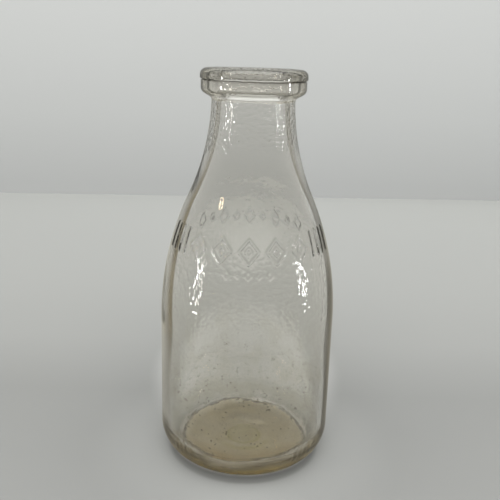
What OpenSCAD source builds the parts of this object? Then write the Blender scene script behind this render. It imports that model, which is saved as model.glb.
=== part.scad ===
// Round glass milk bottle with a cap-seat finish.
// One moulded piece of glass: straight body, long sloping shoulder, short neck, thick double collar.
// The origin is on the table under the centre of the base, and +Z runs up the axis.

/* [Whole bottle] */
// Height from the table to the top of the rim
height = 222.25; // [215:0.25:235]
// Outer diameter of the straight body
body_d = 99.4; // [95:0.2:104]
// Thickness of the glass in the side of the body
wall = 4.2; // [3.4:0.1:4.6]

/* [Shoulder] */
// Height at which the straight side ends and the shoulder begins
shoulder_z = 84.5; // [78:0.5:92]
// Radius of the outward curve of the shoulder
shoulder_r = 168; // [150:1:180]
// Height at which the hollow curve of the shoulder turns into the straight neck
neck_z = 209.4; // [205:0.1:214]

/* [Base] */
// Radius of the rounded heel, outside
heel_r = 18; // [14:0.5:20]
// Radius of the rounded heel, inside
inner_heel_r = 14; // [11:0.5:16]
// Height of the inner floor above the table
floor_z = 7.6; // [6:0.1:10]
// Radius of the crease where the inner floor meets the inner heel
floor_r = 36.5; // [34:0.1:38]
// Width of the flat ring that the bottle stands on
bearing_w = 2.2; // [1.5:0.1:4]
// Height of the hollow under the base
pushup_h = 1.6; // [1:0.1:4]

/* [Neck and finish] */
// Outer diameter of the neck where it is narrowest
neck_d = 44.8; // [44:0.2:48]
// Diameter of the throat inside the neck
throat_d = 38.1; // [36:0.1:39]
// Diameter of the recess that the paper cap is pressed into
cap_seat_d = 41.28; // [40.5:0.02:42]
// Depth of the cap seat below the rim
cap_seat_depth = 4.8; // [3.5:0.1:6]
// Rounding of the inner edge of the rim
mouth_round = 1.2; // [0.8:0.1:1.5]
// Outer diameter of the upper bead
bead_d = 57.6; // [56:0.2:60]
// Height of the upper bead
bead_h = 5.8; // [5:0.1:8]
// Rounding of the outer edge of the rim
rim_round = 3.7; // [2.5:0.1:4.5]
// Outer diameter of the collar under the bead
collar_d = 56.6; // [54:0.2:58]
// Height of the straight side of the collar
collar_h = 6.2; // [5.5:0.1:7]
// Height of the sloping underside of the collar
collar_slope_h = 3.4; // [3:0.1:5]
// Rounding of the lower edge of the collar
collar_round = 3.5; // [1:0.1:4]
// Rounding of the hollow corner between the neck and the collar
neck_fillet = 2.2; // [1:0.1:3]

/* [Hidden] */
$fn = 360;

body_r = body_d / 2;
inner_r = body_r - wall;
neck_r = neck_d / 2;
throat_r = throat_d / 2;
cap_seat_r = cap_seat_d / 2;
bead_r = bead_d / 2;
collar_r = collar_d / 2;

// Levels of the finish, from the top down
seat_z = height - cap_seat_depth;
bead_z = height - bead_h;
collar_z = bead_z - collar_h;
finish_z = collar_z - collar_slope_h;

// Centre height of the inner heel's arc, so that the arc meets the floor at the crease
inner_heel_z = floor_z + sqrt(pow(inner_heel_r, 2) - pow(floor_r - inner_r + inner_heel_r, 2));

// Radius of the sphere that shapes the hollow under the base
pushup_edge = body_r - heel_r - bearing_w;
pushup_r = (pow(pushup_edge, 2) + pow(pushup_h, 2)) / (2 * pushup_h);

// A small overlap that makes stacked areas one area
lap = 0.01;

// Sum of the two radii of a shoulder that falls from radius a to radius b between shoulder_z and neck_z
function ogee_sum(a, b) = (pow(neck_z - shoulder_z, 2) + pow(a - b, 2)) / (2 * (a - b));

// Area between the axis and a shoulder: an outward arc of radius r1 that runs smoothly into a hollow arc
module shoulder_area(a, b, r1) {
    total = ogee_sum(a, b);
    r2 = total - r1;
    turn_z = shoulder_z + (neck_z - shoulder_z) * r1 / total;
    turn_r = a - (a - b) * r1 / total;
    intersection() {
        translate([a - r1, shoulder_z]) circle(r1);
        translate([0, shoulder_z - lap]) square([a, turn_z - shoulder_z + 2 * lap]);
    }
    difference() {
        translate([0, turn_z]) square([turn_r, neck_z - turn_z + lap]);
        translate([b + r2, neck_z]) circle(r2);
    }
}

// Area between the axis and the outside of the heel and the straight side
module body_area() {
    square([body_r - heel_r, heel_r + lap]);
    translate([0, heel_r]) square([body_r, shoulder_z - heel_r]);
    intersection() {
        translate([body_r - heel_r, heel_r]) circle(heel_r);
        square([body_r, heel_r + lap]);
    }
}

// Area between the axis and the outside of the collar and the bead
module finish_area() {
    translate([0, neck_z - lap]) square([neck_r, height - neck_z]);
    // Sloping underside and straight side of the collar, with its lower edge rounded
    slope = atan2(collar_slope_h, collar_r - neck_r);
    edge = [collar_r - collar_round, collar_z + collar_round * tan(45 - slope / 2)];
    touch_side = [collar_r, edge[1]];
    touch_slope = [edge[0] + collar_round * sin(slope), edge[1] - collar_round * cos(slope)];
    // Centre of the rounding in the hollow corner between the neck and the collar
    hollow = [neck_r + neck_fillet, finish_z - neck_fillet * (1 - sin(slope)) / cos(slope)];
    touch_hollow = [hollow[0] - neck_fillet * sin(slope), hollow[1] + neck_fillet * cos(slope)];
    difference() {
        polygon([[0, hollow[1]], hollow, touch_hollow, touch_slope, edge, touch_side, [collar_r, bead_z + lap],
                 [0, bead_z + lap]]);
        translate(hollow) circle(neck_fillet);
    }
    intersection() {
        translate(edge) circle(collar_round);
        translate([edge[0], finish_z]) square([collar_round, edge[1] - finish_z + lap]);
    }
    // Bead with its rounded outer edge
    translate([0, bead_z]) square([bead_r, bead_h - rim_round]);
    translate([0, height - rim_round - lap]) square([bead_r - rim_round, rim_round + lap]);
    intersection() {
        translate([bead_r - rim_round, height - rim_round]) circle(rim_round);
        translate([0, height - rim_round - lap]) square([bead_r, rim_round + lap]);
    }
}

// Area of the hollow inside: heel, body, shoulder, throat, cap seat and rounded mouth
module inside_area() {
    translate([0, inner_heel_z]) square([inner_r, shoulder_z - inner_heel_z]);
    translate([0, floor_z]) square([inner_r - inner_heel_r, inner_heel_z - floor_z + lap]);
    intersection() {
        translate([inner_r - inner_heel_r, inner_heel_z]) circle(inner_heel_r);
        translate([0, floor_z]) square([inner_r, inner_heel_z - floor_z + lap]);
    }
    shoulder_area(inner_r, throat_r, shoulder_r - wall);
    translate([0, neck_z - lap]) square([throat_r, seat_z - neck_z + 2 * lap]);
    translate([0, seat_z]) square([cap_seat_r, cap_seat_depth + 1]);
    difference() {
        translate([0, height - mouth_round]) square([cap_seat_r + mouth_round, mouth_round + 1]);
        translate([cap_seat_r + mouth_round, height - mouth_round]) circle(mouth_round);
    }
}

// The whole piece of glass, turned from one section
module bottle() {
    color("#c9cdc2", 0.45)
        difference() {
            rotate_extrude()
                difference() {
                    union() {
                        body_area();
                        shoulder_area(body_r, neck_r, shoulder_r);
                        finish_area();
                    }
                    inside_area();
                }
            translate([0, 0, pushup_h - pushup_r]) sphere(pushup_r);
        }
}

bottle();
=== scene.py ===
"""Round glass milk bottle: its glass, its raised ornament and the small studio it stands in."""

import functools
import math
from types import SimpleNamespace

import bpy
from bpy.props import FloatProperty, FloatVectorProperty, IntProperty, PointerProperty
from mathutils import Matrix, Vector


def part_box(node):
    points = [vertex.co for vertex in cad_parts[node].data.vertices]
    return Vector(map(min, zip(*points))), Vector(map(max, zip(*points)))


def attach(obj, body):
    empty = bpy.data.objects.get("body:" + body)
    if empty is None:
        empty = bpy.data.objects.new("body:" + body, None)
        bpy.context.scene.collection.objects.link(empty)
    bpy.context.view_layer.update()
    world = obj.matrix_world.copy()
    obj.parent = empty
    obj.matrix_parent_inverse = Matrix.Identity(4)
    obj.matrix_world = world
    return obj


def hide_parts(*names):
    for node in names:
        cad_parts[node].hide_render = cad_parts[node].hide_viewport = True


bl_info = {
    "name": "Glass Milk Bottle",
    "version": (1, 0, 0),
    "blender": (4, 5, 0),
    "location": "3D View > Sidebar > Bottle",
    "description": "Builds a round glass milk bottle and the studio it stands in",
    "category": "Object",
}

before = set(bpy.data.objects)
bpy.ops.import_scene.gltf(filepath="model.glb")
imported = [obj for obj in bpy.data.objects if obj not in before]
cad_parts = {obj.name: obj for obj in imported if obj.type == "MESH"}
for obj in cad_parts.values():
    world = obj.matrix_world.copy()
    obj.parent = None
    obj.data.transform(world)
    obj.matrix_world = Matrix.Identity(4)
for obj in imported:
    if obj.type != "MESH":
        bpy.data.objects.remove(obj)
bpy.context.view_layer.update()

MM = 0.001
TAU = 2 * math.pi
NODE = "bottle"
LOW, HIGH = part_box(NODE)


# -------------------- sizes and colours that a user would change


def length(name, description, default, low=0.0, high=1.0):
    """A length property in metres."""
    return FloatProperty(name=name, description=description, default=default, min=low, max=high,
                         precision=5, unit="LENGTH")


def number(name, description, default, low, high):
    """A plain number property."""
    return FloatProperty(name=name, description=description, default=default, min=low, max=high)


def angle(name, description, degrees):
    """An angle property, given in degrees."""
    return FloatProperty(name=name, description=description, default=math.radians(degrees), subtype="ANGLE")


def colour(name, description, default):
    """A colour property."""
    return FloatVectorProperty(name=name, description=description, default=default, min=0, max=1,
                               size=3, subtype="COLOR")


class BottleSizes(bpy.types.PropertyGroup):
    """Sizes of the glass."""

    height: length("Height", "From the table to the rim", HIGH.z - LOW.z)
    body_r: length("Body radius", "Outer radius of the straight side", (HIGH.x - LOW.x) / 2)
    wall: length("Wall", "Thickness of the glass in the side", 4.2 * MM)
    shoulder_z: length("Shoulder height", "Where the straight side ends", 84.5 * MM)
    shoulder_r: length("Shoulder radius", "Radius of the outward curve of the shoulder", 168 * MM)
    neck_z: length("Neck height", "Where the hollow curve of the shoulder ends", 209.4 * MM)
    heel_r: length("Heel radius", "Rounding of the heel, outside", 18 * MM)
    inner_heel_r: length("Inner heel radius", "Rounding of the heel, inside", 14 * MM)
    floor_z: length("Floor height", "Height of the inner floor", 7.6 * MM)
    floor_r: length("Floor radius", "Radius of the crease round the inner floor", 36.5 * MM)
    bearing_w: length("Bearing width", "Width of the ring that the bottle stands on", 2.2 * MM)
    pushup_h: length("Hollow height", "Height of the hollow under the base", 1.6 * MM)
    neck_r: length("Neck radius", "Outer radius of the neck", 22.4 * MM)
    throat_r: length("Throat radius", "Inner radius of the neck", 19.05 * MM)
    cap_seat_r: length("Cap seat radius", "Radius of the recess for the paper cap", 20.64 * MM)
    cap_seat_depth: length("Cap seat depth", "Depth of the ledge below the rim", 4.8 * MM)
    mouth_round: length("Mouth rounding", "Rounding of the inner edge of the rim", 1.2 * MM)
    bead_r: length("Bead radius", "Outer radius of the upper bead", 28.8 * MM)
    bead_h: length("Bead height", "Height of the upper bead", 5.8 * MM)
    rim_round: length("Rim rounding", "Rounding of the outer edge of the rim", 3.7 * MM)
    collar_r: length("Collar radius", "Outer radius of the collar under the bead", 28.3 * MM)
    collar_h: length("Collar height", "Height of the collar's side, down to its corner", 6.2 * MM)
    collar_slope_h: length("Collar slope", "Height of the collar's sloping underside", 3.4 * MM)
    collar_round: length("Collar rounding", "Rounding of the collar's lower edge", 3.5 * MM)
    neck_fillet: length("Neck fillet", "Rounding of the hollow corner under the collar", 2.2 * MM)
    parting_depth: length("Parting groove", "Depth of the line between bead and collar", 0.8 * MM)
    valve_r: length("Valve mark radius", "Radius of the round mark under the base", 9.9 * MM)
    plate_r: length("Plate mark radius", "Radius of the ring mark under the base", 15.4 * MM)
    mark_depth: length("Mark depth", "Depth of the marks under the base", 0.02 * MM)
    crease_wander: length("Crease wander", "How far the crease round the floor strays", 1.0 * MM)
    segments: IntProperty(name="Segments", description="Faces round the outside, a multiple of 32",
                          default=288, min=96, max=384)


class GlassLook(bpy.types.PropertyGroup):
    """Colour and surface of the glass."""

    tint: colour("Tint", "Colour that clear glass takes on in depth", (0.66, 0.60, 0.42))
    density: number("Density", "Strength of the tint, per metre of glass", 18.0, 0.0, 200.0)
    ior: number("IOR", "Refractive index of soda-lime glass", 1.52, 1.0, 2.0)
    residue: colour("Residue", "Colour of the dried film in the bottom", (1.0, 0.87, 0.58))
    # A darker tone on the inner heel
    inner_heel_tone: colour("Heel film", "Colour of the dried film on the inner heel", (0.78, 0.75, 0.66))
    # Dirt and painted shade in the crease round the floor and in the groove under the bead
    dirt_and_shade: colour("Dirt", "Colour of the dirt in the creases", (0.05, 0.037, 0.022))
    speck: colour("Speck", "Colour of the dried specks inside", (0.3, 0.28, 0.22))
    plate: colour("Plate mark tone", "Colour of the mould plate's marks under the base", (0.80, 0.81, 0.52))
    clear: colour("Surface tone", "Tone that every surface of the glass adds", (0.93, 0.925, 0.91))
    haze: colour("Haze tone", "Tone of the cloudy film low on the inside", (0.87, 0.85, 0.79))
    # Painted shade that only camera rays see: the band inside the outline, stronger towards +X and paler on
    # the neck
    edge: colour("Edge tone", "Tone of the band inside the outline", (0.22, 0.168, 0.09))
    right_edge_shade: colour("Thick edge tone", "Tone of that band towards +X", (0.0187, 0.0128, 0.0042))
    neck_edge_shade: colour("Neck edge tone", "Tone of that band on the neck", (0.52, 0.50, 0.45))
    # Painted shade that only camera rays see: the dark line under the collar's slope
    brow_shade: colour("Brow tone", "Tone of the line under the collar's slope", (0.5, 0.49, 0.45))
    # Painted shade that only camera rays see: the dark lines round bead and collar
    outline: colour("Outline tone", "Tone of the outline of bead and collar", (0.03, 0.028, 0.022))
    # The heel's amber: the tint of thick glass with painted shade, which only camera rays see
    foot: colour("Foot tone", "Amber tone of the thick glass of the heel", (0.65, 0.42, 0.072))
    finish: colour("Finish tone", "Tone of the thick glass of bead and collar", (0.87, 0.865, 0.86))
    dimple: length("Dimple depth", "Depth of the fine hammered skin", 0.36 * MM)
    seeds: number("Seeds", "Small bubbles in the side wall, per square metre", 420.0, 0.0, 5000.0)


class StageLook(bpy.types.PropertyGroup):
    """Camera, lamps and cloth."""

    camera_distance: length("Camera distance", "From the bottle's axis", 0.3729, 0.1, 5.0)
    camera_height: length("Camera height", "Above the table", 0.2316, 0.0, 5.0)
    camera_pitch: angle("Camera pitch", "Downward tilt", 16.34)
    camera_roll: angle("Camera roll", "Turn round the line of sight", 1.75)
    camera_yaw: angle("Camera yaw", "Turn to the right", 0.09)
    focal_length: number("Focal length", "Lens for a 36 mm wide sensor", 49.13, 10, 200)
    window_power: number("Window power", "Watts of each side window", 1.7, 0, 500)
    top_power: number("Top power", "Watts of the soft lamp overhead", 10.0, 0, 500)
    front_power: number("Front power", "Watts of the soft lamp behind the camera", 17.0, 0, 500)
    warm_power: number("Warm power", "Watts of each small warm lamp on the left", 0.13, 0, 10)
    cloth: colour("Cloth", "Colour of the table cloth", (0.420, 0.426, 0.414))
    backdrop: colour("Backdrop", "Colour of the cloth behind", (0.412, 0.419, 0.416))
    backdrop_y: length("Backdrop distance", "Behind the bottle's axis", 0.73, 0.2, 5.0)


# -------------------- node helpers


def put(tree, kind, values=None, **settings):
    """Adds a node, sets its properties and fills its sockets, by name or number, with values or sockets."""
    made = tree.nodes.new(kind)
    for key, value in settings.items():
        setattr(made, key, value)
    for key, value in (values or {}).items():
        socket = made.inputs[key]
        if isinstance(value, bpy.types.NodeSocket):
            tree.links.new(value, socket)
        else:
            socket.default_value = value
    return made


def first(tree, kind, values=None, **settings):
    """The first output of a node that is added as put adds it."""
    return put(tree, kind, values, **settings).outputs[0]


def maths(tree, operation, *values):
    """The result of a math node."""
    return first(tree, "ShaderNodeMath", dict(enumerate(values)), operation=operation)


def times(tree, *factors):
    """The product of sockets and numbers."""
    return functools.reduce(lambda a, b: maths(tree, "MULTIPLY", a, b), factors)


def plus(tree, *terms):
    """The sum of sockets and numbers."""
    return functools.reduce(lambda a, b: maths(tree, "ADD", a, b), terms)


def minus(tree, whole, part):
    """The difference of two sockets or numbers."""
    return maths(tree, "SUBTRACT", whole, part)


def vector(tree, x=0.0, y=0.0, z=0.0):
    """A vector of sockets and numbers."""
    return first(tree, "ShaderNodeCombineXYZ", {0: x, 1: y, 2: z})


def larger(tree, one, other):
    """The larger of two sockets or numbers."""
    return maths(tree, "MAXIMUM", one, other)


def ramp(tree, value, start, end, low=0.0, high=1.0, smooth=True):
    """Low up to start and high from end on, with an even or a smooth slope between."""
    slope = "SMOOTHSTEP" if smooth else "LINEAR"
    return first(tree, "ShaderNodeMapRange", {"Value": value, 1: start, 2: end, 3: low, 4: high},
                 interpolation_type=slope)


def mixed(tree, share, below, above, blend="MIX"):
    """A colour between two colours, each a socket or three numbers."""
    ends = {side: tone if isinstance(tone, bpy.types.NodeSocket) else (*tone, 1.0)
            for side, tone in (("A", below), ("B", above))}
    made = put(tree, "ShaderNodeMix", {"Factor": share, **ends}, data_type="RGBA", blend_type=blend)
    return made.outputs["Result"]


def noise(tree, place, scale, detail, rough, seed):
    """Soft noise, with scale cells to the metre."""
    return first(tree, "ShaderNodeTexNoise", {"Vector": place, "W": seed, "Scale": scale, "Detail": detail,
                                              "Roughness": rough}, noise_dimensions="4D")


def new_geometry_tree(name, inputs):
    """A Geometry Nodes tree with a geometry, named inputs with their defaults, and a material."""
    kinds = {float: "NodeSocketFloat", int: "NodeSocketInt", bool: "NodeSocketBool"}
    tree = bpy.data.node_groups.new(name, "GeometryNodeTree")
    tree.interface.new_socket(name="Geometry", in_out="INPUT", socket_type="NodeSocketGeometry")
    for label, default in inputs.items():
        made = tree.interface.new_socket(name=label, in_out="INPUT", socket_type=kinds[type(default)])
        made.default_value = default
    tree.interface.new_socket(name="Material", in_out="INPUT", socket_type="NodeSocketMaterial")
    tree.interface.new_socket(name="Geometry", in_out="OUTPUT", socket_type="NodeSocketGeometry")
    return tree, tree.nodes.new("NodeGroupInput").outputs


def close_tree(tree, geometry, material):
    """Ends a Geometry Nodes tree with real geometry that carries the glass."""
    real = first(tree, "GeometryNodeRealizeInstances", {"Geometry": geometry})
    glazed = first(tree, "GeometryNodeSetMaterial", {"Geometry": real, "Material": material})
    put(tree, "NodeGroupOutput", {"Geometry": glazed})


def add_modifier(piece, tree, values):
    """Puts a Geometry Nodes modifier on a piece and sets its inputs."""
    modifier = piece.modifiers.new(tree.name, "NODES")
    modifier.node_group = tree
    sockets = {s.name: s.identifier for s in tree.interface.items_tree if s.in_out == "INPUT"}
    for label, value in values.items():
        modifier[sockets[label]] = value


def make_plain(piece):
    """Turns a piece's modifiers into a plain mesh."""
    graph = bpy.context.evaluated_depsgraph_get()
    mesh = bpy.data.meshes.new_from_object(piece.evaluated_get(graph), depsgraph=graph)
    piece.modifiers.clear()
    piece.data = mesh


# -------------------- the outline of the glass


def arc(centre, radius, start, end, count):
    """Points on an arc, from angle start to angle end in degrees, both ends included."""
    angles = [math.radians(start + (end - start) * i / count) for i in range(count + 1)]
    return [(centre[0] + radius * math.cos(a), centre[1] + radius * math.sin(a)) for a in angles]


def rounded(corners, turns=4):
    """A path through corners (r, z, rounding), with an arc in place of each corner that has a rounding."""
    path = [corners[0][:2]]
    for before, here, after in zip(corners, corners[1:], corners[2:]):
        point, size = Vector(here[:2]), here[2]
        if size == 0:
            path.append(tuple(point))
            continue
        to_before = (Vector(before[:2]) - point).normalized()
        to_after = (Vector(after[:2]) - point).normalized()
        half = to_before.angle(to_after) / 2
        middle = (to_before + to_after).normalized()
        centre = point + middle * size / math.sin(half)
        start = point + to_before * size / math.tan(half) - centre
        end = point + to_after * size / math.tan(half) - centre
        sweep = start.angle_signed(end)
        for i in range(turns + 1):
            spoke = Matrix.Rotation(-sweep * i / turns, 2) @ start
            path.append(tuple(centre + spoke))
    path.append(corners[-1][:2])
    return path


def spaced(path, step):
    """The same path with points added, so that no gap is longer than step."""
    out = [path[0]]
    for a, b in zip(path, path[1:]):
        gap = math.dist(a, b)
        pieces = max(1, math.ceil(gap / step - 1e-6))
        out += [(a[0] + (b[0] - a[0]) * i / pieces, a[1] + (b[1] - a[1]) * i / pieces)
                for i in range(1, pieces + 1)]
    return out


class Outline:
    """The section of the glass as stretches of (r, z), from the middle of the base up, then down inside."""

    def __init__(self, sizes):
        self.s = sizes
        self.inner_r = sizes.body_r - sizes.wall
        self.seat_z = sizes.height - sizes.cap_seat_depth
        self.bead_z = sizes.height - sizes.bead_h
        self.collar_z = self.bead_z - sizes.collar_h
        self.finish_z = self.collar_z - sizes.collar_slope_h
        self.bearing_r = sizes.body_r - sizes.heel_r
        inner = sizes.inner_heel_r
        reach = sizes.floor_r - self.inner_r + inner
        self.inner_heel_z = sizes.floor_z + math.sqrt(inner ** 2 - reach ** 2)

    def shoulder(self, a, b, first_r, low, high, step):
        """Points of a shoulder that falls from radius a to b: an outward arc that runs into a hollow arc."""
        s = self.s
        rise = s.neck_z - s.shoulder_z
        total = (rise ** 2 + (a - b) ** 2) / (2 * (a - b))
        second_r = total - first_r
        turn_z = s.shoulder_z + rise * first_r / total

        def radius(z):
            if z <= s.shoulder_z:
                return a
            if z < turn_z:
                return a - first_r + math.sqrt(first_r ** 2 - (z - s.shoulder_z) ** 2)
            if z < s.neck_z:
                return b + second_r - math.sqrt(second_r ** 2 - (s.neck_z - z) ** 2)
            return b

        count = max(1, round((high - low) / step))
        levels = [low + (high - low) * i / count for i in range(count + 1)]
        return [(radius(z), z) for z in levels]

    def underside(self):
        """From the middle of the base to the bearing ring, with the marks of the valve and the plate."""
        s = self.s
        edge = self.bearing_r - s.bearing_w

        def height(r):
            z = s.pushup_h * (1 - min(1, r / edge) ** 2) ** 2
            valve = 1 / (1 + math.exp((r - s.valve_r) / (0.25 * MM)))
            ring = bell(r, s.plate_r, 0.8 * MM)
            return z + s.mark_depth * valve - 0.8 * s.mark_depth * ring

        radii = [i * 1.2 * MM for i in range(1, 8)]
        radii += [s.valve_r + i * 0.3 * MM for i in range(-3, 4)]
        radii += [12.2 * MM, 13.3 * MM]
        radii += [s.plate_r + i * 0.42 * MM for i in range(-3, 4)]
        radii += [18 * MM + i * (edge - 18 * MM) / 8 for i in range(9)]
        return [(r, max(0.0, height(r))) for r in radii]

    def stretches(self):
        """(points, share of the segments, 1 outside or 0 inside) for each stretch of the section."""
        s = self.s
        limits = ((0, 5, 1 / 8), (5, 11.5, 1 / 4), (11.5, 18, 1 / 2), (18, 1000, 1))
        for low, high, share in limits:
            yield [p for p in self.underside() if low * MM <= p[0] < high * MM], share, 1
        yield [(self.bearing_r - s.bearing_w * k, 0.0) for k in (0.66, 0.33)], 1, 1
        yield arc((self.bearing_r, s.heel_r), s.heel_r, -90, 0, 22), 1, 1
        low, high = ORNAMENT_BAND
        neck_end = self.finish_z - 1.6 * MM
        side = functools.partial(self.shoulder, s.body_r, s.neck_r, s.shoulder_r)
        neck = side(high, neck_end, 2.3 * MM)
        yield side(s.heel_r, low, 2.3 * MM)[1:], 1, 1
        yield side(low, high, 0.54 * MM)[1:], 2, 1
        yield neck[1:], 1, 1
        yield self.finish(neck[-1]), 1, 1
        yield self.mouth(), 1, 1
        throat = spaced([(s.throat_r, self.seat_z - 0.8 * MM), (s.throat_r, s.neck_z)], 2.0 * MM)
        inside = self.shoulder(self.inner_r, s.throat_r, s.shoulder_r - s.wall, self.inner_heel_z, s.neck_z,
                               2.6 * MM)
        yield throat + inside[::-1][1:], 1 / 2, 0
        yield self.inner_heel()[1:], 1 / 2, 0
        floor = [s.floor_r - k * MM for k in (0.3, 0.6, 1.0)]
        floor += [s.floor_r * k for k in (0.95, 0.9, 0.8, 0.7, 0.6, 0.5)]
        yield [(r, s.floor_z) for r in floor], 1 / 2, 0
        yield [(s.floor_r * k, s.floor_z) for k in (0.4, 0.3, 0.2)], 1 / 4, 0
        yield [(s.floor_r * k, s.floor_z) for k in (0.12, 0.05)], 1 / 8, 0

    def finish(self, neck_end):
        """Collar and bead, from the neck to the top of the rim."""
        s = self.s
        groove = s.parting_depth
        corners = [
            (*neck_end, 0),
            (s.neck_r, self.finish_z, s.neck_fillet),
            (s.collar_r, self.collar_z, s.collar_round),
            (s.collar_r, self.bead_z - 0.45 * MM, 0.25 * MM),
            (s.collar_r - groove, self.bead_z - 0.05 * MM, 0.12 * MM),
            (s.bead_r, self.bead_z + 0.5 * MM, 0.5 * MM),
            (s.bead_r, s.height, s.rim_round),
            (s.cap_seat_r + s.mouth_round + 1.0 * MM, s.height, 0),
        ]
        return spaced(rounded(corners, 6), 0.9 * MM)[1:]

    def mouth(self):
        """Inner edge of the rim, cap seat and ledge."""
        s = self.s
        corners = [
            (s.cap_seat_r + s.mouth_round + 1.0 * MM, s.height, 0),
            (s.cap_seat_r, s.height, s.mouth_round),
            (s.cap_seat_r, self.seat_z, 0.25 * MM),
            (s.throat_r, self.seat_z, 0.35 * MM),
            (s.throat_r, self.seat_z - 0.6 * MM, 0),
        ]
        return spaced(rounded(corners, 5), 0.9 * MM)[1:]

    def inner_heel(self):
        """Inner heel, from the side down to the crease round the floor."""
        s = self.s
        centre = (self.inner_r - s.inner_heel_r, self.inner_heel_z)
        end = -math.degrees(math.acos((s.floor_r - centre[0]) / s.inner_heel_r))
        path = arc(centre, s.inner_heel_r, 0, end, 14)
        near = arc(centre, s.inner_heel_r, end + 4.8, end, 4)
        return path[:-1] + near[1:]


# Lowest and highest point of the raised marks on the shoulder, where the faces are smallest
ORNAMENT_BAND = (117.0 * MM, 143.0 * MM)


def wander(turn):
    """How far, from about -1 to 1, a pressed line strays from a circle at an angle round the bottle."""
    return (0.55 * math.sin(2 * turn + 0.6) + 0.3 * math.sin(3 * turn + 2.1) + 0.25 * math.sin(5 * turn + 4.0)
            + 0.15 * math.sin(9 * turn + 1.2))


def crease_stray(turn):
    """How far, from about -1 to 2, the floor's crease strays at an angle round the bottle."""
    return (0.35 + 1.05 * math.sin(turn + 1.87) + 0.87 * math.sin(2 * turn + 1.05)
            + 0.52 * math.sin(3 * turn + 3.06) + 0.59 * math.sin(5 * turn + 2.7)
            + 0.49 * math.sin(7 * turn - 2.62))


def bell(value, middle, width):
    """A bell curve: 1 at the middle, and near 0 from twice the width on."""
    return math.exp(-(((value - middle) / width) ** 2))


def plate_mark(sizes, r, turn):
    """Strength of the mould marks' tone under the base: a ring, a disc and a crescent at the front."""
    ring = bell(r, sizes.valve_r, 0.8 * MM) + 0.5 / (1 + math.exp((r - sizes.valve_r) / (0.4 * MM)))
    return ring + bell(r, sizes.plate_r, 1.7 * MM) * max(0.0, math.cos(turn - 0.15)) ** 1.5


def lathe(sizes, name):
    """The glass as one closed mesh, with fewer faces near the axis and inside, and more in the ornament."""
    outline = Outline(sizes)
    points, faces, rings = [], [], []
    marks = {"outside": [], "floor": [], "crease": [], "plate": [], "skin": []}

    def place(r, z, side, turn):
        """A point of the surface. The floor's crease and the line between bead and collar stray a little."""
        low = not side and z < sizes.floor_z + 9 * MM
        near_crease = bell(r, sizes.floor_r, 4.6 * MM) if low else 0
        near_parting = bell(z, outline.bead_z, 1.1 * MM) if side else 0
        r += sizes.crease_wander * crease_stray(turn) * near_crease
        z += 0.16 * MM * (wander(3 * turn + 1) + 0.6 * wander(7 * turn)) * near_parting
        return (r * math.sin(turn), -r * math.cos(turn), z)

    def note(r, z, side, count):
        """Keeps the marks that the glass colour reads, for each point of a ring."""
        # The crease mark places dirt and painted shade in the groove under the bead and round the floor
        if side:
            groove, reach = (sizes.collar_r - 0.4 * MM, outline.bead_z - 0.1 * MM), 0.85 * MM
        else:
            groove, reach = (sizes.floor_r, sizes.floor_z), 1.3 * MM
        crease = min(1.0, max(0.0, 1.6 * (1 - math.dist((r, z), groove) / reach)))
        floor = not side and r <= sizes.floor_r and z < sizes.floor_z + 0.1 * MM
        low = side and z < 4 * MM and r < 32 * MM
        skin = 0.0 if not side or low else 0.5 if z > outline.finish_z else 1.0
        for label, value in {"outside": side, "floor": floor, "crease": crease, "skin": skin}.items():
            marks[label].extend([float(value)] * count)
        marks["plate"].extend(low * plate_mark(sizes, r, TAU * i / count) for i in range(count))

    for stretch, share, side in outline.stretches():
        count = int(sizes.segments * share)
        for r, z in stretch:
            rings.append((len(points), count))
            points.extend(place(r, z, side, TAU * i / count) for i in range(count))
            note(r, z, side, count)

    def join(low, high):
        """Faces between two rings, where the second goes on round the section from the first."""
        (a, na), (b, nb) = low, high
        if na == nb:
            faces.extend((a + i, a + (i + 1) % na, b + (i + 1) % na, b + i) for i in range(na))
        elif nb == 2 * na:
            for i in range(na):
                j = (i + 1) % na
                left, middle, right = b + 2 * i, b + 2 * i + 1, b + 2 * j
                faces.extend([(a + i, middle, left), (a + i, a + j, middle), (a + j, right, middle)])
        else:
            for i in range(nb):
                j = (i + 1) % nb
                left, middle, right = a + 2 * i, a + 2 * i + 1, a + 2 * j
                faces.extend([(b + i, left, middle), (b + i, middle, b + j), (b + j, middle, right)])

    for low, high in zip(rings, rings[1:]):
        join(low, high)
    for ring, height, last in ((rings[0], points[0][2], False), (rings[-1], sizes.floor_z, True)):
        pole = len(points)
        points.append((0, 0, height))
        note(0, height, not last, 1)
        start, count = ring
        for i in range(count):
            pair = (start + i, start + (i + 1) % count)
            faces.append((pole, *(reversed(pair) if not last else pair)))
    mesh = bpy.data.meshes.new(name)
    mesh.from_pydata(points, [], faces)
    for label, values in marks.items():
        mesh.attributes.new(label, "FLOAT", "POINT").data.foreach_set("value", values)
    mesh.shade_smooth()
    mesh.update()
    piece = bpy.data.objects.new(name, mesh)
    bpy.context.scene.collection.objects.link(piece)
    return piece


# -------------------- what Geometry Nodes do to the glass


def named_float(tree, name):
    """A float attribute of the mesh."""
    return first(tree, "GeometryNodeInputNamedAttribute", {"Name": name}, data_type="FLOAT")


def position(tree):
    """Where each point of the mesh is, as one socket and as X, Y and Z."""
    whole = first(tree, "GeometryNodeInputPosition")
    return whole, put(tree, "ShaderNodeSeparateXYZ", {0: whole}).outputs


def shift_along_normal(tree, geometry, amount):
    """Moves the surface along its normal."""
    normal = first(tree, "GeometryNodeInputNormal")
    offset = first(tree, "ShaderNodeVectorMath", {0: normal, "Scale": amount}, operation="SCALE")
    return first(tree, "GeometryNodeSetPosition", {"Geometry": geometry, "Offset": offset})


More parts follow.
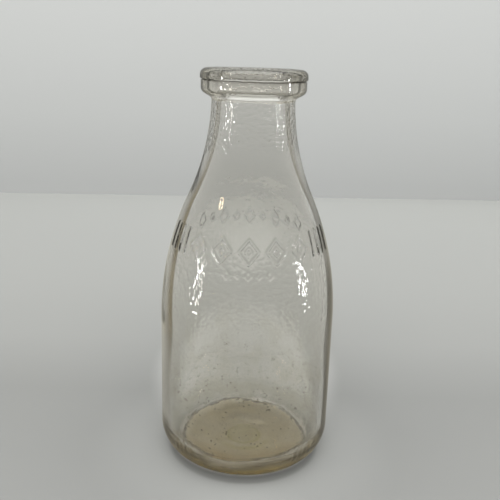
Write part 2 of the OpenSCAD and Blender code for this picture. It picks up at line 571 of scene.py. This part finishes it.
def ripple_tree():
    """Shallow ripples of glass that was pressed and blown: fine outside, long and deeper inside."""
    tree, given = new_geometry_tree("Glass Ripple", {
        "Outside Depth": 0.0, "Outside Size": 0.01, "Inside Depth": 0.0, "Inside Size": 0.03,
        "Fine Depth": 0.0, "Fine Size": 0.009, "Top": 0.2, "Seed": 1.0})
    place, at = position(tree)

    def waves(kind, seed_shift, detail, middle):
        seed = plus(tree, given["Seed"], seed_shift)
        scale = maths(tree, "DIVIDE", 1.0, given[f"{kind} Size"])
        wave = minus(tree, noise(tree, place, scale, detail, 0.45, seed), middle)
        return times(tree, wave, given[f"{kind} Depth"])

    outer = times(tree, waves("Outside", 0.0, 1.0, 0.85), named_float(tree, "skin"))
    below = ramp(tree, at["Z"], given["Top"], minus(tree, given["Top"], 20 * MM), smooth=False)
    calm = minus(tree, 1.0, times(tree, named_float(tree, "floor"), 0.65))
    within = times(tree, minus(tree, 1.0, named_float(tree, "outside")), below, calm)
    inner = times(tree, plus(tree, waves("Inside", 7.0, 1.0, 0.5), waves("Fine", 13.0, 0.0, 0.5)), within)
    close_tree(tree, shift_along_normal(tree, given["Geometry"], plus(tree, outer, inner)), given["Material"])
    return tree


def raised_row_tree():
    """A row of raised marks round the bottle: they are drawn flat, and the glass swells near their lines."""
    tree, given = new_geometry_tree("Raised Row", {
        "Count": 3, "Pitch": 0.01, "Angle": 0.0, "Height": 0.1, "Radius": 0.05, "Mark Width": 0.005,
        "Mark Height": 0.005, "Sides": 4, "Bars": False, "Alternate": 0.0, "Line Width": 0.001,
        "Relief": 0.0005})
    # The flat drawing, in metres: X runs round the bottle and Y up it
    half_row = times(tree, minus(tree, given["Count"], 1.0), given["Pitch"], -0.5)
    row = first(tree, "GeometryNodeMeshLine", {
        "Count": given["Count"], "Start Location": vector(tree, half_row),
        "Offset": vector(tree, given["Pitch"])})
    ring = first(tree, "GeometryNodeCurvePrimitiveCircle", {"Resolution": given["Sides"], "Radius": 0.5})
    bar = first(tree, "GeometryNodeCurvePrimitiveLine", {"Start": (0, -0.5, 0), "End": (0, 0.5, 0)})
    shape = first(tree, "GeometryNodeSwitch", {"Switch": given["Bars"], "False": ring, "True": bar},
                  input_type="GEOMETRY")
    lines = first(tree, "GeometryNodeCurveToMesh", {"Curve": shape})
    odd = maths(tree, "MODULO", first(tree, "GeometryNodeInputIndex"), 2.0)
    shrink = minus(tree, 1.0, times(tree, odd, given["Alternate"]))
    width, height = [times(tree, given[label], shrink) for label in ("Mark Width", "Mark Height")]
    size = vector(tree, width, height, 1.0)
    marks = first(tree, "GeometryNodeInstanceOnPoints", {"Points": row, "Instance": lines, "Scale": size})
    drawing = first(tree, "GeometryNodeRealizeInstances", {"Geometry": marks})
    # Where each point of the glass lies on the drawing
    at = position(tree)[1]
    turn = maths(tree, "ARCTAN2", at["X"], times(tree, at["Y"], -1.0))
    across = maths(tree, "WRAP", minus(tree, turn, given["Angle"]), math.pi, -math.pi)
    flat = vector(tree, times(tree, across, given["Radius"]), minus(tree, at["Z"], given["Height"]))
    near = put(tree, "GeometryNodeProximity", {"Geometry": drawing, "Sample Position": flat},
               target_element="EDGES").outputs["Distance"]
    flank = (times(tree, given["Line Width"], 0.15), times(tree, given["Line Width"], 0.62))
    amount = times(tree, ramp(tree, near, *flank, given["Relief"], 0.0), named_float(tree, "outside"))
    close_tree(tree, shift_along_normal(tree, given["Geometry"], amount), given["Material"])
    return tree


def seeds_tree():
    """Seeds: small bubbles shut in the side wall, a little stretched along the bottle."""
    tree, given = new_geometry_tree("Seeds", {
        "Density": 100.0, "Least Radius": 0.0001, "Most Radius": 0.0004, "Depth": 0.002, "Low": 0.03,
        "High": 0.2, "Seed": 3})
    height = position(tree)[1]["Z"]
    side = None
    limits = ((height, given["Low"], "GREATER_THAN"), (height, given["High"], "LESS_THAN"),
              (named_float(tree, "outside"), 0.5, "GREATER_THAN"))
    for value, limit, operation in limits:
        test = first(tree, "FunctionNodeCompare", {"A": value, "B": limit}, operation=operation)
        side = first(tree, "FunctionNodeBooleanMath", {0: side, 1: test}) if side else test
    spread = put(tree, "GeometryNodeDistributePointsOnFaces", {
        "Mesh": given["Geometry"], "Selection": side, "Density": given["Density"],
        "Seed": given["Seed"]}).outputs
    inward = first(tree, "ShaderNodeVectorMath", {
        0: spread["Normal"], "Scale": times(tree, given["Depth"], -1.0)}, operation="SCALE")
    points = first(tree, "GeometryNodeSetPosition", {"Geometry": spread["Points"], "Offset": inward})
    bubble = first(tree, "GeometryNodeMeshIcoSphere", {"Radius": 1.0, "Subdivisions": 2})
    bubble = first(tree, "GeometryNodeFlipFaces", {"Mesh": bubble})
    bubble = first(tree, "GeometryNodeSetShadeSmooth", {"Geometry": bubble})
    chance = put(tree, "FunctionNodeRandomValue", {2: 0.0, 3: 1.0, "Seed": given["Seed"]}, data_type="FLOAT")
    small = maths(tree, "POWER", chance.outputs[1], 3.0)
    radius = ramp(tree, small, 0.0, 1.0, given["Least Radius"], given["Most Radius"], smooth=False)
    bubbles = first(tree, "GeometryNodeInstanceOnPoints", {
        "Points": points, "Instance": bubble,
        "Scale": vector(tree, radius, radius, times(tree, radius, 1.7))})
    joined = put(tree, "GeometryNodeJoinGeometry", {"Geometry": given["Geometry"]})
    tree.links.new(bubbles, joined.inputs[0])
    close_tree(tree, joined.outputs[0], given["Material"])
    return tree


def ornament_rows():
    """The rows of raised marks: what each gives to Raised Row, in millimetres and degrees."""
    lozenges = {"Sides": 4, "Height": 133.2, "Radius": 43}
    yield {**lozenges, "Count": 5, "Pitch": 14.5, "Mark Width": 10.5, "Mark Height": 12.5, "Line Width": 1.5,
           "Relief": 0.45}
    yield {**lozenges, "Count": 5, "Pitch": 14.5, "Mark Width": 3.6, "Mark Height": 4.4, "Line Width": 1.4,
           "Relief": 0.4}
    yield {"Count": 5, "Pitch": 5.6, "Height": 121.6, "Radius": 45.5, "Mark Width": 3.2, "Mark Height": 3.8,
           "Sides": 4, "Line Width": 1.3, "Relief": 0.35, "Alternate": 0.35}
    for angle in (-62, 62):
        yield {"Count": 4, "Pitch": 5.2, "Angle": angle, "Height": 134.5, "Radius": 42, "Mark Height": 12.5,
               "Bars": True, "Line Width": 1.6, "Relief": 0.5}
    for angle in (-44.5, 48.5):
        yield {"Count": 1, "Angle": angle, "Height": 112, "Radius": 47, "Mark Height": 34, "Bars": True,
               "Line Width": 1.7, "Relief": 0.1}
    for angle, count, height in ((-43, 4, 15.5), (41, 5, 15.5), (131, 5, 14.5), (-165, 4, 14.5)):
        yield {"Count": count, "Pitch": 3.6, "Angle": angle, "Height": height, "Radius": 49.4,
               "Mark Height": 5.5, "Bars": True, "Line Width": 1.9, "Relief": 0.3}
    yield {"Count": 9, "Pitch": 9.0, "Angle": 180, "Height": 133.5, "Radius": 42.5, "Mark Width": 6.2,
           "Mark Height": 9.5, "Sides": 4, "Line Width": 1.4, "Relief": 0.4, "Alternate": 0.45}


# -------------------- glass


def mark(tree, name):
    """A mark of the mesh that the material of the glass reads."""
    return put(tree, "ShaderNodeAttribute", attribute_name=name).outputs["Fac"]


def glass_places(tree):
    """What the skin and the tone of the glass both read: where a point is, its side and the drawn foot."""
    place = put(tree, "ShaderNodeTexCoord").outputs["Object"]
    across, _, height = put(tree, "ShaderNodeSeparateXYZ", {0: place}).outputs
    outside = mark(tree, "outside")
    foot = times(tree, ramp(tree, height, 27 * MM, 7 * MM, smooth=False), outside)
    drawn = first(tree, "ShaderNodeVectorMath", {0: place, 1: (45.0, 45.0, 850.0)}, operation="MULTIPLY")
    streaks = first(tree, "ShaderNodeTexNoise", {"Vector": drawn, "Scale": 1.0, "Detail": 2.0})
    return SimpleNamespace(place=place, across=across, height=height, outside=outside, foot=foot,
                           streaks=streaks)


def glass_skin(tree, at, depth):
    """The hammered skin of the mould, much fainter on the blown inside, with thin streaks along the heel."""
    def dents(size, share):
        cell = first(tree, "ShaderNodeTexVoronoi", {"Vector": at.place, "Scale": 1 / size, "Randomness": 0.8})
        return times(tree, cell, cell, share)

    # The skin is deepest on the neck and in a belt below the ornament, and calm at the sides
    sideways = maths(tree, "ABSOLUTE", at.across)
    belt = maths(tree, "MINIMUM", ramp(tree, at.height, 78 * MM, 98 * MM, 0.16),
                 ramp(tree, at.height, 124 * MM, 142 * MM, 1.0, 0.16))
    belt = times(tree, belt, ramp(tree, sideways, 35 * MM, 45 * MM, 1.0, 0.2))
    waves = times(tree, noise(tree, at.place, 1 / (3.1 * MM), 1.2, 0.42, 2.0), belt, 0.5)
    belt_dents = dents(2.6 * MM, times(tree, belt, 0.45))
    neck_dents = dents(2.1 * MM, ramp(tree, at.height, 174 * MM, 187 * MM, 0.0, 0.8))
    streaks = times(tree, at.streaks, at.foot, ramp(tree, at.height, 1.5 * MM, 5 * MM, smooth=False))
    amount = ramp(tree, mark(tree, "skin"), 0.0, 1.0, 0.1, smooth=False)
    bumps = times(tree, plus(tree, waves, belt_dents, neck_dents, streaks), amount)
    return first(tree, "ShaderNodeBump", {"Strength": 1.0, "Distance": depth, "Height": bumps})


def thick_glass_and_shade(tree, at, look):
    """Painted shade near the outline, the heel's amber with painted shade, and a tone for the thick finish,
    by height and by the angle the glass is seen at.

    All but the last show to camera rays only.
    """
    rise, product = functools.partial(ramp, tree), functools.partial(times, tree)
    finish = rise(at.height, 206 * MM, 209 * MM)
    neck = rise(at.height, 150 * MM, 200 * MM)
    facing = put(tree, "ShaderNodeLayerWeight", {"Blend": 0.5}).outputs["Facing"]
    met = product(facing, rise(at.height, 40 * MM, 100 * MM, 0.875, 1.03),
                  rise(at.height, 150 * MM, 200 * MM, 1.0, 1.52))
    # Painted shade, stronger towards +X, though the wall is no thicker there
    thick = product(rise(at.across, 10 * MM, 46 * MM, smooth=False), minus(tree, 1.0, neck))
    seen = product(at.outside, put(tree, "ShaderNodeLightPath").outputs["Is Camera Ray"])
    wall = product(seen, minus(tree, 1.0, finish))
    # A painted dark band inside the outline, darkest towards +X, and a fine painted dark line in it on the
    # neck
    late = product(thick, rise(at.height, 70 * MM, 100 * MM, 0.075, 0.125))
    fading = product(larger(tree, rise(met, 0.6, 0.84, 1.0, 0.1), thick),
                     larger(tree, rise(at.height, 45 * MM, 95 * MM, 0.55), thick))
    edge = product(rise(minus(tree, met, late), 0.535, 0.57), fading, wall)
    edge_shade_tone = mixed(tree, neck, mixed(tree, thick, look.edge, look.right_edge_shade), look.neck_edge_shade)
    line = product(rise(met, 0.72, 0.745), rise(met, 0.755, 0.79, 1.0, 0.0), neck, wall)
    # Painted shade: two dark lines round bead and collar, and one under the collar
    inner_shade_line = product(rise(facing, 0.43, 0.47), rise(facing, 0.51, 0.56, 1.0, 0.0), 0.93)
    outline = product(larger(tree, rise(facing, 0.64, 0.84), inner_shade_line), finish, seen)
    brow_shade = product(rise(at.height, 208 * MM, 208.8 * MM),
                   rise(at.height, 210.6 * MM, 212 * MM, 1.0, 0.0), seen)
    # The heel's amber: the tint of thick glass, with painted shade, and the mould's streaks
    heel_amber_and_shade = product(at.foot, plus(tree, 0.55, at.streaks), mark(tree, "skin"), seen)
    return ((edge_shade_tone, edge), (look.edge, line), (look.outline, outline), (look.brow_shade, brow_shade),
            (look.foot, heel_amber_and_shade), (look.finish, product(finish, at.outside)))


def films(tree, at, look, film):
    """Tones of the films and specks on the glass, a darker inner heel, dirt and painted shade in the creases
    and the marks under it, each with its share.
    """
    inside = minus(tree, minus(tree, 1.0, at.outside), mark(tree, "floor"))
    cloudy = ramp(tree, noise(tree, at.place, 1 / (17 * MM), 4.0, 0.62, 12.0), 0.42, 0.64)
    dotted = ramp(tree, noise(tree, at.place, 1 / (1.3 * MM), 0.0, 0.5, 15.0), 0.735, 0.755)
    patchy = ramp(tree, noise(tree, at.place, 1 / (22 * MM), 2.0, 0.6, 9.0), 0.35, 0.55, 0.7, smooth=False)
    return ((look.clear, ramp(tree, at.height, 8 * MM, 14 * MM)), (look.residue, film),
            (look.haze, times(tree, cloudy, ramp(tree, at.height, 95 * MM, 50 * MM), inside)),
            (look.speck, times(tree, dotted, ramp(tree, at.height, 90 * MM, 50 * MM), inside)),
            # A darker tone on the inner heel, below about 25 mm
            (look.inner_heel_tone, times(tree, ramp(tree, at.height, 25 * MM, 13 * MM), inside)),
            # Dirt and painted shade in the crease round the floor and in the groove under the bead
            (look.dirt_and_shade, times(tree, mark(tree, "crease"), patchy)), (look.plate, mark(tree, "plate")))


def glass_material(look):
    """Clear glass with a straw tint in depth, a finely hammered skin, and a dried film in the bottom."""
    made = bpy.data.materials.new("straw_glass")
    made.use_nodes = True
    tree = made.node_tree
    tree.nodes.clear()
    at = glass_places(tree)
    cloud = ramp(tree, noise(tree, at.place, 1 / (14 * MM), 4.0, 0.6, 5.0), 0.3, 0.7, 0.7, smooth=False)
    film = times(tree, mark(tree, "floor"), cloud)
    tone = (1.0, 1.0, 1.0)
    for coat, share in films(tree, at, look, film) + thick_glass_and_shade(tree, at, look):
        tone = mixed(tree, share, tone, coat, "MULTIPLY")
    rough = ramp(tree, film, 0.0, 1.0, 0.008, 0.05, smooth=False)
    shader = first(tree, "ShaderNodeBsdfPrincipled", {
        "Base Color": tone, "Roughness": rough, "Metallic": 0.0, "IOR": look.ior, "Transmission Weight": 1.0,
        "Normal": glass_skin(tree, at, look.dimple)})
    depth = first(tree, "ShaderNodeVolumeAbsorption", {"Color": (*look.tint, 1.0), "Density": look.density})
    put(tree, "ShaderNodeOutputMaterial", {"Surface": shader, "Volume": depth})
    return made


class BOTTLE_OT_glass(bpy.types.Operator):
    """Turn the glass, raise its ornament, and shut the seeds in it"""

    bl_idname = "bottle.glass"
    bl_label = "Glass"

    def execute(self, context):
        sizes, look = context.scene.bottle_sizes, context.scene.bottle_glass
        glass = glass_material(look)
        piece = lathe(sizes, "glass_bottle")
        add_modifier(piece, ripple_tree(), {
            "Outside Depth": 0.04 * MM, "Outside Size": 9 * MM, "Inside Depth": 0.9 * MM,
            "Inside Size": 34 * MM, "Fine Depth": 0.02 * MM, "Top": sizes.neck_z, "Seed": 4.0,
            "Material": glass})
        row_tree = raised_row_tree()
        lengths = ("Pitch", "Height", "Radius", "Mark Width", "Mark Height", "Line Width", "Relief")
        for row in ornament_rows():
            values = {k: v * MM if k in lengths else v for k, v in row.items()}
            values["Angle"] = math.radians(values.get("Angle", 0))
            add_modifier(piece, row_tree, {**values, "Material": glass})
        add_modifier(piece, seeds_tree(), {
            "Density": look.seeds, "Least Radius": 0.12 * MM, "Most Radius": 0.5 * MM,
            "Depth": sizes.wall / 2, "Low": 24 * MM, "High": 200 * MM, "Seed": 11, "Material": glass})
        make_plain(piece)
        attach(piece, "root")
        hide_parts(NODE)
        return {"FINISHED"}


# -------------------- studio


def flat_panel(name, corners, material):
    """A flat four-cornered panel of the stage."""
    mesh = bpy.data.meshes.new(name)
    mesh.from_pydata(corners, [], [(0, 1, 2, 3)])
    mesh.materials.append(material)
    piece = bpy.data.objects.new(name, mesh)
    bpy.context.scene.collection.objects.link(piece)
    return piece


def cloth_tree(name):
    """A matt cloth's material: its node tree, its shader and the place on the cloth."""
    made = bpy.data.materials.new(name)
    made.use_nodes = True
    tree = made.node_tree
    tree.nodes.clear()
    place = put(tree, "ShaderNodeTexCoord").outputs["Object"]
    shader = put(tree, "ShaderNodeBsdfPrincipled", {"Roughness": 0.9, "Specular IOR Level": 0.1})
    put(tree, "ShaderNodeOutputMaterial", {"Surface": shader.outputs[0]})
    return made, tree, shader, put(tree, "ShaderNodeSeparateXYZ", {0: place}).outputs


def shaded(tone, share):
    """A tone times a share, no brighter than white."""
    return [min(1.0, c * share) for c in tone]


def painted_light_along(tree, distance, tone, shades):
    """Painted light and shade: the tone times a share that changes along up to a metre, shades being (metres,
    share).
    """
    stripe = put(tree, "ShaderNodeValToRGB", {0: distance})
    stops = stripe.color_ramp.elements
    stops.remove(stops[1])
    for i, (place, share) in enumerate(shades):
        stop = stops[0] if i == 0 else stops.new(place)
        stop.position = place
        stop.color = (*shaded(tone, share), 1)
    return stripe.outputs[0]


def mirrored_tone(tree, tone, share):
    """A cloth's tone, times a share where the glass mirrors it, as if the room beside it were dimmer."""
    path = put(tree, "ShaderNodeLightPath").outputs
    mirrored = larger(tree, minus(tree, path["Is Glossy Ray"], path["Is Transmission Ray"]), 0.0)
    return mixed(tree, mirrored, tone, share, "MULTIPLY")


def table_material(tone):
    """Matt cloth, with painted shade towards the front and painted patches of light and shadow round the
    bottle.
    """
    made, tree, shader, at = cloth_tree("table_cloth")
    # Painted shade: the cloth darkens towards the front, as the light falls off
    shades = ((0.0, 0.47), (0.06, 0.465), (0.15, 0.56), (0.28, 0.635), (0.46, 0.72), (0.7, 0.855))
    result = painted_light_along(tree, at["Y"], tone, shades)
    # Painted patches stand for the light that the glass gathers under, round and behind itself, and a painted
    # dark ring for the shadow at its foot: each has its middle's Y, its stretch, the radii of its start and
    # its full, its share
    patches = ((700, 0.3, 115, 75, 0.83), (480, 0.45, 64, 40, 0.88), (0, 1, 100, 50, 0.57),
               (-56, 0.8, 40, 0, 0.61), (110, 0.55, 74, 52, 0.77), (150, 0.55, 50, 12, 0.68),
               (0, 1, 46.5, 43.5, 0.42), (5, 1, 45, 37, 2.38))
    for middle, stretch, start, end, share in patches:
        along = times(tree, minus(tree, at["Y"], middle * MM), stretch)
        reach = put(tree, "ShaderNodeVectorMath", {0: vector(tree, at["X"], along)}, operation="LENGTH")
        near = ramp(tree, reach.outputs["Value"], start * MM, end * MM)
        result = mixed(tree, near, result, shaded(tone, share))
    tree.links.new(mirrored_tone(tree, result, (0.94, 0.89, 0.79)), shader.inputs["Base Color"])
    return made


def backdrop_material(tone):
    """Plain matt cloth, with painted shade that darkens it towards the table."""
    made, tree, shader, at = cloth_tree("backdrop_cloth")
    # Painted shade: darker towards the table, paler towards the top
    shades = ((0.02, 0.755), (0.13, 0.85), (0.22, 0.9), (0.33, 0.94), (0.57, 1.35))
    shade = mirrored_tone(tree, painted_light_along(tree, at["Z"], tone, shades), (0.66, 0.645, 0.61))
    tree.links.new(shade, shader.inputs["Base Color"])
    return made


def area_lamp(name, place, aim, width, height, power, tone):
    """A soft rectangular lamp that faces a point and that the camera doesn't see."""
    lamp = bpy.data.lights.new(name, "AREA")
    lamp.shape = "RECTANGLE"
    lamp.size, lamp.size_y = width, height
    lamp.energy = power
    lamp.color = tone
    holder = bpy.data.objects.new(name, lamp)
    holder.location = place
    holder.rotation_euler = (Vector(aim) - Vector(place)).to_track_quat("-Z", "Y").to_euler()
    holder.visible_camera = False
    bpy.context.scene.collection.objects.link(holder)
    return holder


def room_world():
    """A room that is pale where it is seen, darker where the glass mirrors it, and brighter as light."""
    world = bpy.data.worlds.new("room")
    bpy.context.scene.world = world
    world.use_nodes = True
    tree = world.node_tree
    tree.nodes.clear()
    way = put(tree, "ShaderNodeTexCoord").outputs["Generated"]
    behind = put(tree, "ShaderNodeSeparateXYZ", {0: way}).outputs["Y"]
    level = ramp(tree, behind, -0.85, 0.45, 0.06, 0.6)
    room = first(tree, "ShaderNodeCombineColor", {0: level, 1: times(tree, level, 0.965),
                                                  2: times(tree, level, 0.86)})
    path = put(tree, "ShaderNodeLightPath").outputs
    light, pale = (1.5, 1.5, 1.465), (0.5, 0.505, 0.5)
    mirrored = mixed(tree, path["Is Glossy Ray"], light, room)
    # Light that comes through the glass to the cloth stays the room's own
    straight = maths(tree, "LESS_THAN", path["Diffuse Depth"], 0.5)
    seen = larger(tree, path["Is Camera Ray"], times(tree, path["Is Transmission Ray"], straight))
    sky = first(tree, "ShaderNodeBackground", {"Color": mixed(tree, seen, mirrored, pale), "Strength": 1.0})
    put(tree, "ShaderNodeOutputWorld", {"Surface": sky})


class BOTTLE_OT_studio(bpy.types.Operator):
    """Lay the cloths, set the lamps and place the camera"""

    bl_idname = "bottle.studio"
    bl_label = "Studio"

    def execute(self, context):
        scene = context.scene
        look = scene.bottle_stage
        self.lay_cloths(look)
        self.set_lamps(look)
        room_world()
        self.place_camera(look)
        scene.view_settings.view_transform = "Standard"
        scene.cycles.max_bounces = 28
        scene.cycles.transmission_bounces = 28
        scene.cycles.glossy_bounces = 12
        return {"FINISHED"}

    def lay_cloths(self, look):
        """Lays the table cloth and hangs the one behind it, which is turned 4 degrees."""
        side, inner, front, top = 1.3, 0.5, -0.44, 1.5
        behind, skew, drop = look.backdrop_y, math.tan(math.radians(4)), -0.2 * MM
        back = [(x, behind + skew * x) for x in (-side, -inner, inner, side)]
        far_left, near_left, near_right, far_right = back
        cloth = table_material(look.cloth)
        corners = [(-inner, front), (inner, front), near_right, near_left]
        flat_panel("table", [(*c, drop) for c in corners], cloth)
        # The rest of the table, which mirror-like reflections leave out: the bottle shows the dark room there
        outer = [((-side, -side), (-inner, -side), near_left, far_left),
                 ((inner, -side), (side, -side), far_right, near_right),
                 ((-inner, -side), (inner, -side), (inner, front), (-inner, front))]
        for i, patch in enumerate(outer):
            flat_panel(f"table_apron_{i}", [(*c, drop) for c in patch], cloth).visible_glossy = False
        wall = backdrop_material(look.backdrop)
        corners = [(*far_left, drop), (*far_right, drop), (*far_right, top), (*far_left, top)]
        flat_panel("backdrop", corners, wall)

    def set_lamps(self, look):
        """Two narrow windows, two small warm lamps, and the soft light from above and in front."""
        aim, white = (0, 0, 0.115), (1, 1, 1)
        power = look.window_power
        area_lamp("left_window", (-0.927, -0.375, 0.10), aim, 0.055, 0.3, power, (1.0, 0.99, 0.97))
        area_lamp("right_window", (0.97, -0.242, 0.10), aim, 0.046, 0.3, power, (0.98, 0.99, 1.0))
        area_lamp("top_lamp", (0, 0.1, 1.35), (0, 0.12, 0), 1.7, 1.5, look.top_power, white)
        # The front lamp lights the cloths only: the bottle mirrors a dark room there
        front_lamp = area_lamp("front_lamp", (0, -1.2, 1.1), (0, 0, 0), 1.6, 1.0, look.front_power, white)
        front_lamp.visible_glossy = front_lamp.visible_transmission = False
        for name, azimuth, height in (("warm_lamp_high", -60, 0.69), ("warm_lamp_low", -56, 0.71)):
            turn = math.radians(azimuth)
            place = (math.sin(turn), -math.cos(turn), height)
            area_lamp(name, place, aim, 0.022, 0.05, look.warm_power, (1.0, 0.78, 0.5))

    def place_camera(self, look):
        """Puts the camera in front of the bottle, looking down at it with a slight roll."""
        pitch, roll, yaw = look.camera_pitch, look.camera_roll, look.camera_yaw
        forward = Vector((math.sin(yaw) * math.cos(pitch), math.cos(yaw) * math.cos(pitch), -math.sin(pitch)))
        right = Vector((math.cos(yaw), -math.sin(yaw), 0))
        up = right.cross(forward)
        right, up = right * math.cos(roll) + up * math.sin(roll), up * math.cos(roll) - right * math.sin(roll)
        lens = bpy.data.cameras.new("camera")
        lens.sensor_width = 36
        lens.lens = look.focal_length
        lens.clip_start = 0.01
        camera = bpy.data.objects.new("camera", lens)
        turn = Matrix((right, up, -forward)).transposed().to_4x4()
        camera.matrix_world = Matrix.Translation((0, -look.camera_distance, look.camera_height)) @ turn
        bpy.context.scene.collection.objects.link(camera)
        bpy.context.scene.camera = camera


class BOTTLE_PT_panel(bpy.types.Panel):
    """Lists the bottle's sizes and the steps that build it"""

    bl_idname = "BOTTLE_PT_panel"
    bl_label = "Glass Milk Bottle"
    bl_space_type = "VIEW_3D"
    bl_region_type = "UI"
    bl_category = "Bottle"

    def draw(self, context):
        for group in (context.scene.bottle_stage, context.scene.bottle_sizes, context.scene.bottle_glass):
            box = self.layout.box()
            for name in group.bl_rna.properties.keys():
                if name not in ("rna_type", "name"):
                    box.prop(group, name)
        for operator in (BOTTLE_OT_studio, BOTTLE_OT_glass):
            self.layout.operator(operator.bl_idname)


CLASSES = (BottleSizes, GlassLook, StageLook, BOTTLE_OT_glass, BOTTLE_OT_studio, BOTTLE_PT_panel)


def register():
    """Registers the classes and their settings."""
    for cls in CLASSES:
        bpy.utils.register_class(cls)
    bpy.types.Scene.bottle_sizes = PointerProperty(type=BottleSizes)
    bpy.types.Scene.bottle_glass = PointerProperty(type=GlassLook)
    bpy.types.Scene.bottle_stage = PointerProperty(type=StageLook)


def unregister():
    """Removes the classes and their settings."""
    del bpy.types.Scene.bottle_stage
    del bpy.types.Scene.bottle_glass
    del bpy.types.Scene.bottle_sizes
    for cls in reversed(CLASSES):
        bpy.utils.unregister_class(cls)


def main():
    """Builds everything in order."""
    register()
    bpy.ops.bottle.studio()
    bpy.ops.bottle.glass()


if __name__ == "__main__":
    main()
